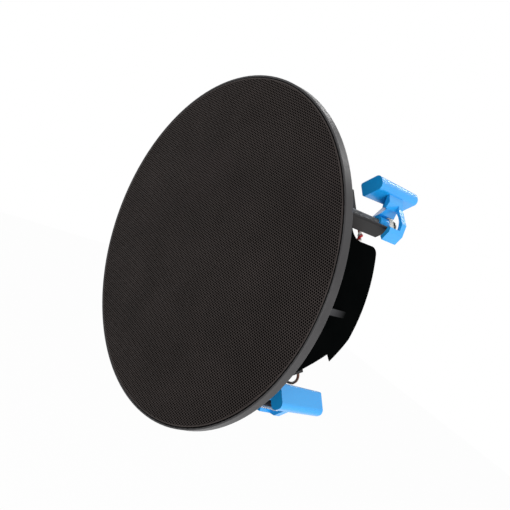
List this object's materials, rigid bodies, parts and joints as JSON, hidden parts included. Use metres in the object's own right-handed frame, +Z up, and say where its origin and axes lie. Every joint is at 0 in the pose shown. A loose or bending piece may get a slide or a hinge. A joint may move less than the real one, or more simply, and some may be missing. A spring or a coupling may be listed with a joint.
{
  "type": "in-wall loudspeaker",
  "caption": "Round in-wall loudspeaker: perforated grille over a flanged frame, woofer with a centred tweeter, and dog-leg clamps that swing out and grip the wall from behind.",
  "frame": {"origin": "centre of the flange's back plane, where the locating shoulder starts", "axes": "-Y out of the grille into the room, +Y into the wall along the loudspeaker's axis, +Z up, +X to the right seen from the room"},
  "size_m": [0.232, 0.0887, 0.232],
  "materials": {
    "frame_plastic": "satin moulded",
    "grille_steel": "matt powder coat, perforated",
    "magnet": "nickel plated",
    "gasket_foam": "closed foam",
    "basket_steel": "satin black",
    "dark_screw": "blackened",
    "surround_rubber": "matt",
    "cone_pulp": "coated pulp",
    "spider_cloth": "resin-dipped cloth",
    "former_foil": "foil",
    "copper_wire": "enamelled copper",
    "plated_steel": "zinc plated",
    "ferrite": "sintered ferrite",
    "post_aluminium": "turned",
    "tweeter_plastic": "satin",
    "dome_cloth": "coated silk",
    "board_laminate": "solder mask",
    "capacitor_film": "film",
    "resistor_ceramic": "cement",
    "terminal_plastic": "moulded",
    "tab_red": "moulded",
    "tab_black": "moulded",
    "lead_red": "vinyl",
    "lead_white": "vinyl",
    "lead_brown": "vinyl",
    "clamp_plastic": "semi-gloss nylon",
    "zinc_steel": "bright zinc"
  },
  "bodies": {
    "frame": {"front_frame": "frame_plastic", "grille_magnets": "magnet", "woofer_gasket": "gasket_foam", "basket": "basket_steel", "basket_screws": "dark_screw", "surround": "surround_rubber", "spider": "spider_cloth", "top_plate": "plated_steel", "ring_magnet": "ferrite", "yoke": "plated_steel", "tweeter_post": "post_aluminium", "tweeter_cup": "tweeter_plastic", "tweeter_motor": "plated_steel", "tweeter_dome": "dome_cloth", "tweeter_ring": "tweeter_plastic", "crossover_board": "board_laminate", "crossover_coil": "copper_wire", "crossover_capacitor": "capacitor_film", "crossover_resistor": "resistor_ceramic", "terminal_block": "terminal_plastic", "lead_red": "lead_red", "lead_white": "lead_white", "lead_brown": "lead_brown"},
    "grille": {"grille": "grille_steel"},
    "cone": {"cone": "cone_pulp", "coil_former": "former_foil", "voice_coil": "copper_wire"},
    "tab_red": {"terminal_tab_red": "tab_red"},
    "tab_black": {"terminal_tab_black": "tab_black"},
    "screw_1": {"clamp_screw_1": "zinc_steel", "clamp_clip_1": "zinc_steel"},
    "nut_1": {"clamp_nut_1": "zinc_steel"},
    "clamp_1": {"clamp_1": "clamp_plastic"},
    "screw_2": {"clamp_screw_2": "zinc_steel", "clamp_clip_2": "zinc_steel"},
    "nut_2": {"clamp_nut_2": "zinc_steel"},
    "clamp_2": {"clamp_2": "clamp_plastic"},
    "screw_3": {"clamp_screw_3": "zinc_steel", "clamp_clip_3": "zinc_steel"},
    "nut_3": {"clamp_nut_3": "zinc_steel"},
    "clamp_3": {"clamp_3": "clamp_plastic"},
    "screw_4": {"clamp_screw_4": "zinc_steel", "clamp_clip_4": "zinc_steel"},
    "nut_4": {"clamp_nut_4": "zinc_steel"},
    "clamp_4": {"clamp_4": "clamp_plastic"}
  },
  "joints": [
    {"name": "grille_pull", "type": "slide", "parent": "frame", "child": "grille", "axis": [0, -1, 0], "range_m": [0, 0.06]},
    {"name": "cone_travel", "type": "slide", "parent": "frame", "child": "cone", "axis": [0, 1, 0], "range_m": [-0.004, 0.004], "stiffness_N_per_m": 1000, "deforming": ["surround", "spider"]},
    {"name": "tab_red_press", "type": "slide", "parent": "frame", "child": "tab_red", "axis": [0, -1, 0], "range_m": [0, 0.003], "stiffness_N_per_m": 800},
    {"name": "tab_black_press", "type": "slide", "parent": "frame", "child": "tab_black", "axis": [0, -1, 0], "range_m": [0, 0.003], "stiffness_N_per_m": 800},
    {"name": "clamp_screw_1", "type": "hinge", "parent": "frame", "child": "screw_1", "pos_m": [0.06329, 0, 0.06329], "axis": [0, 1, 0], "range_deg": [0, 18514.79]},
    {"name": "clamp_nut_1", "type": "slide", "parent": "frame", "child": "nut_1", "axis": [0, -1, 0], "range_m": [0, 0.036]},
    {"name": "clamp_swing_1", "type": "hinge", "parent": "nut_1", "child": "clamp_1", "pos_m": [0.06329, 0, 0.06329], "axis": [0, 1, 0], "range_deg": [-6, 84]},
    {"name": "clamp_screw_2", "type": "hinge", "parent": "frame", "child": "screw_2", "pos_m": [-0.06329, 0, 0.06329], "axis": [0, 1, 0], "range_deg": [0, 18514.79]},
    {"name": "clamp_nut_2", "type": "slide", "parent": "frame", "child": "nut_2", "axis": [0, -1, 0], "range_m": [0, 0.036]},
    {"name": "clamp_swing_2", "type": "hinge", "parent": "nut_2", "child": "clamp_2", "pos_m": [-0.06329, 0, 0.06329], "axis": [0, 1, 0], "range_deg": [-6, 84]},
    {"name": "clamp_screw_3", "type": "hinge", "parent": "frame", "child": "screw_3", "pos_m": [-0.06329, 0, -0.06329], "axis": [0, 1, 0], "range_deg": [0, 18514.79]},
    {"name": "clamp_nut_3", "type": "slide", "parent": "frame", "child": "nut_3", "axis": [0, -1, 0], "range_m": [0, 0.036]},
    {"name": "clamp_swing_3", "type": "hinge", "parent": "nut_3", "child": "clamp_3", "pos_m": [-0.06329, 0, -0.06329], "axis": [0, 1, 0], "range_deg": [-6, 84]},
    {"name": "clamp_screw_4", "type": "hinge", "parent": "frame", "child": "screw_4", "pos_m": [0.06329, 0, -0.06329], "axis": [0, 1, 0], "range_deg": [-8229.07, 10286.21]},
    {"name": "clamp_nut_4", "type": "slide", "parent": "frame", "child": "nut_4", "axis": [0, -1, 0], "range_m": [-0.016, 0.02]},
    {"name": "clamp_swing_4", "type": "hinge", "parent": "nut_4", "child": "clamp_4", "pos_m": [0.06329, 0, -0.06329], "axis": [0, 1, 0], "range_deg": [-6, 84]}
  ],
  "couplings": [
    {"joint": "clamp_screw_1", "follows": "clamp_nut_1", "rad_per_m": 8976},
    {"joint": "clamp_screw_2", "follows": "clamp_nut_2", "rad_per_m": 8976},
    {"joint": "clamp_screw_3", "follows": "clamp_nut_3", "rad_per_m": 8976},
    {"joint": "clamp_screw_4", "follows": "clamp_nut_4", "rad_per_m": 8976}
  ]
}
